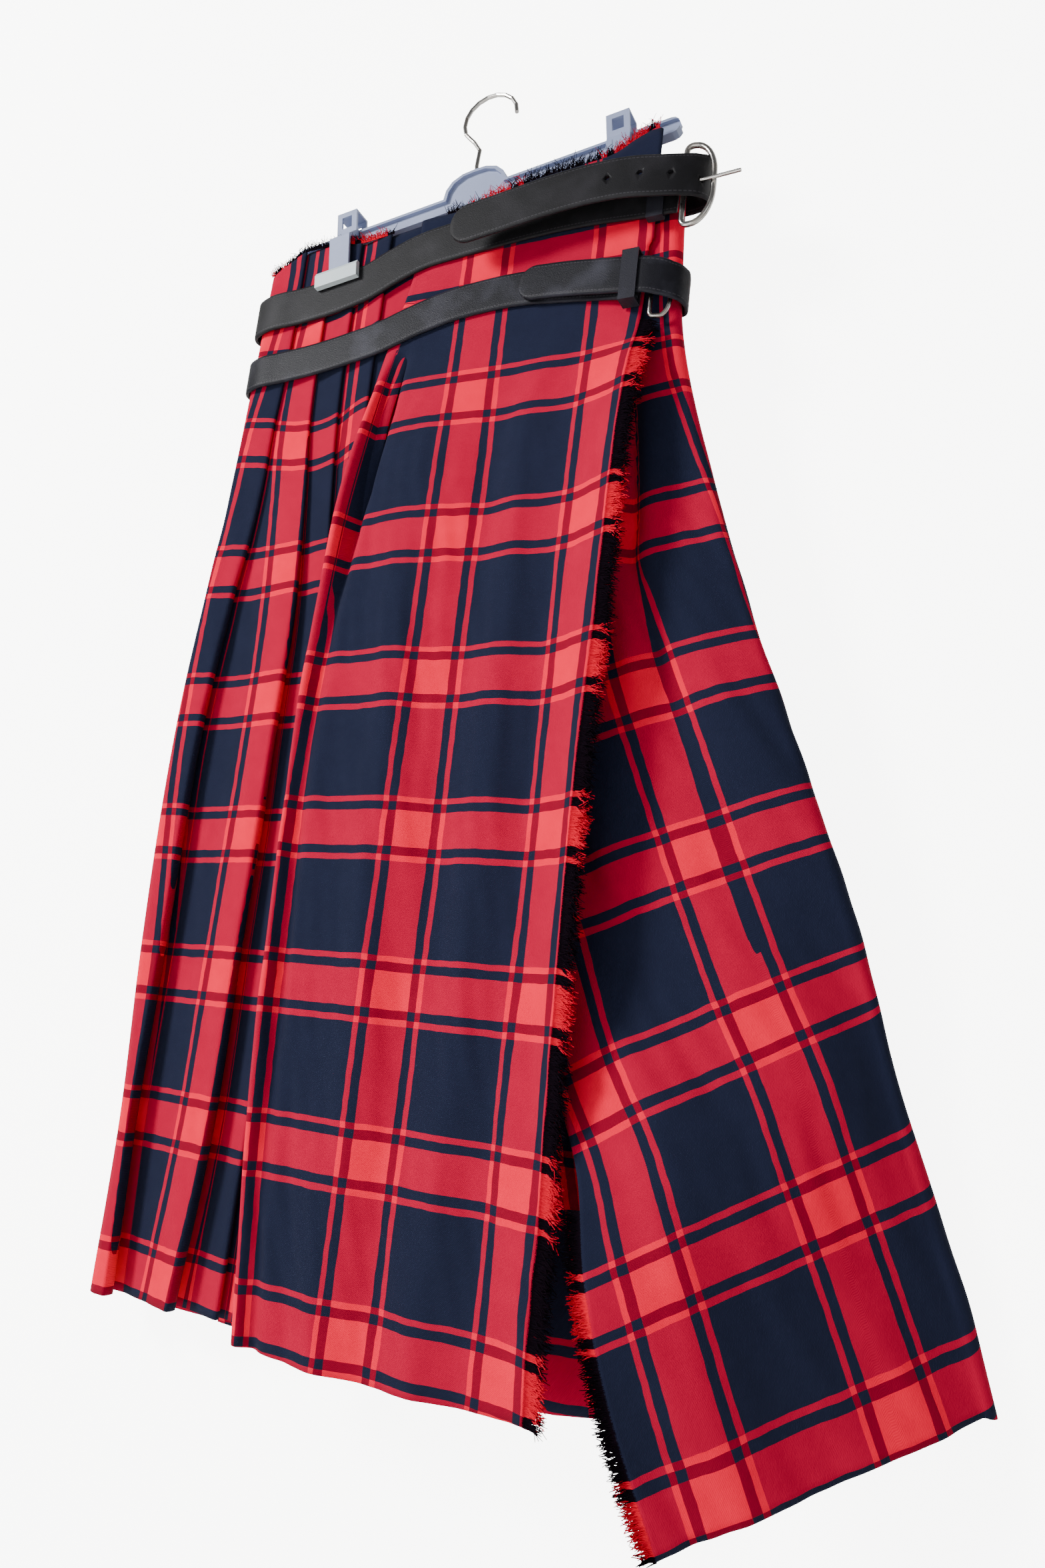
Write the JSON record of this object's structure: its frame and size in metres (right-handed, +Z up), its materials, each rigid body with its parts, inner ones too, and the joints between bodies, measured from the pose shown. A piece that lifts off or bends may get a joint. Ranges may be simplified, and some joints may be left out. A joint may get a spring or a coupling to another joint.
{
  "type": "scottish kilt on a clip hanger",
  "caption": "Wrap-over kilt in checked cloth with knife pleats, fringed aprons and two leather belts, hanging flat from a plastic clip hanger.",
  "frame": {"origin": "inside top of the hanger's hook, where it rests on what holds it", "axes": "+Z up, -Y the front of the kilt, +X the viewer's right, +Y the wall behind"},
  "size_m": [0.6104, 0.1236, 0.9522],
  "materials": {
    "check_cotton": "twill woven in a red and navy check, matt",
    "loose_yarn": "frayed yarn ends, matt",
    "black_leather": "smooth, worn, satin",
    "nickel_steel": "nickel plated, slightly worn",
    "grey_plastic": "moulded, satin",
    "pale_plastic": "moulded, frosted"
  },
  "bodies": {
    "root": {"front_apron": "check_cotton", "front_apron_fold": "check_cotton", "left_pleats": "check_cotton", "back_pleats": "check_cotton", "under_apron": "check_cotton", "apron_fringe": "loose_yarn", "under_apron_fringe": "loose_yarn", "top_fringe_left": "loose_yarn", "top_fringe_right": "loose_yarn", "waist_belt_strap": "black_leather", "waist_belt_keeper": "black_leather", "waist_belt_frame": "nickel_steel", "waist_belt_prong": "nickel_steel", "hip_belt_strap": "black_leather", "hip_belt_keeper": "black_leather", "hip_belt_frame": "nickel_steel", "hanger_bar": "grey_plastic", "hanger_hook": "nickel_steel", "clip_left_body": "grey_plastic", "clip_left_front_jaw": "pale_plastic", "clip_left_rear_jaw": "pale_plastic", "clip_right_body": "grey_plastic", "clip_right_front_jaw": "pale_plastic", "clip_right_rear_jaw": "pale_plastic"}
  },
  "joints": []
}
